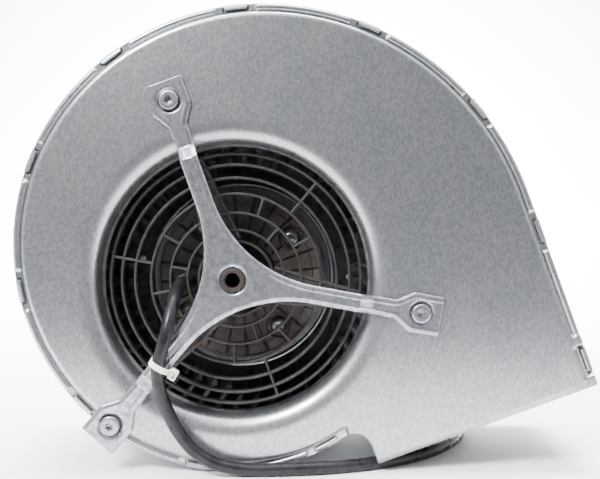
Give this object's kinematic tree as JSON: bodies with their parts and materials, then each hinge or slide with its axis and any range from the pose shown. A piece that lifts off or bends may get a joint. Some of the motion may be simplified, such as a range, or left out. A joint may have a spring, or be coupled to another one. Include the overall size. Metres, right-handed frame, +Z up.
{
  "type": "combustion fan",
  "caption": "Centrifugal combustion fan: galvanised scroll housing, arm bracket and guarded inlet, external-rotor motor, spinning impeller, and a supply lead coiled behind.",
  "frame": {"origin": "on the floor, under the centre of the fan's box without its lead", "axes": "+Z up, +Y along the shaft towards the rear plate, +X along the fan's longest side, towards the outlet"},
  "size_m": [0.316, 0.2187, 0.2533],
  "materials": {
    "galvanised_sheet": "hot-dip galvanised sheet, satin, faint mottled grain",
    "zinc_plate": "zinc-plated pressing, satin, slightly mottled",
    "bright_steel": "bright plated or ground steel",
    "cast_alloy": "die-cast alloy, matt, dulled to a brown grey",
    "lamination_steel": "stacked electrical steel",
    "copper_winding": "enamelled copper wire",
    "guard_plastic": "black-brown moulding, satin",
    "impeller_plastic": "black moulding",
    "cable_sheath": "black sheath, semi-matt",
    "cream_nylon": "natural nylon"
  },
  "bodies": {
    "housing": {"inlet_plate": "galvanised_sheet", "rear_plate": "galvanised_sheet", "scroll_band": "galvanised_sheet", "motor_bracket": "zinc_plate", "bracket_screw_1": "bright_steel", "bracket_screw_2": "bright_steel", "bracket_screw_3": "bright_steel", "hub_bush": "cast_alloy", "inlet_guard": "guard_plastic", "motor_flange": "cast_alloy", "motor_screw_1": "bright_steel", "motor_screw_2": "bright_steel", "motor_screw_3": "bright_steel", "motor_screw_4": "bright_steel", "stator_core": "lamination_steel", "stator_winding_front": "copper_winding", "stator_winding_rear": "copper_winding", "bearing_outer_race_front": "bright_steel", "bearing_outer_race_rear": "bright_steel", "cable_gland": "guard_plastic", "cable_tie": "cream_nylon", "supply_cable": "cable_sheath", "supply_cable_tail": "cable_sheath", "cable_coil": "cable_sheath", "coil_tie": "cream_nylon", "cable_connector": "cream_nylon"},
    "rotor": {"rotor_shaft": "bright_steel", "retaining_ring": "bright_steel", "rotor_can": "bright_steel", "rotor_cage": "lamination_steel", "impeller": "impeller_plastic", "impeller_rivet_1": "bright_steel", "impeller_rivet_2": "bright_steel", "impeller_rivet_3": "bright_steel", "balance_pin_1": "bright_steel", "balance_pin_2": "bright_steel", "bearing_ball_cage_front": "bright_steel", "bearing_ball_cage_rear": "bright_steel", "bearing_inner_race_front": "bright_steel", "bearing_inner_race_rear": "bright_steel"}
  },
  "joints": [
    {"name": "rotor_spin", "type": "hinge", "parent": "housing", "child": "rotor", "pos_m": [-0.0385, 0.00415, 0.1039], "axis": [0, 1, 0], "continuous": true}
  ]
}
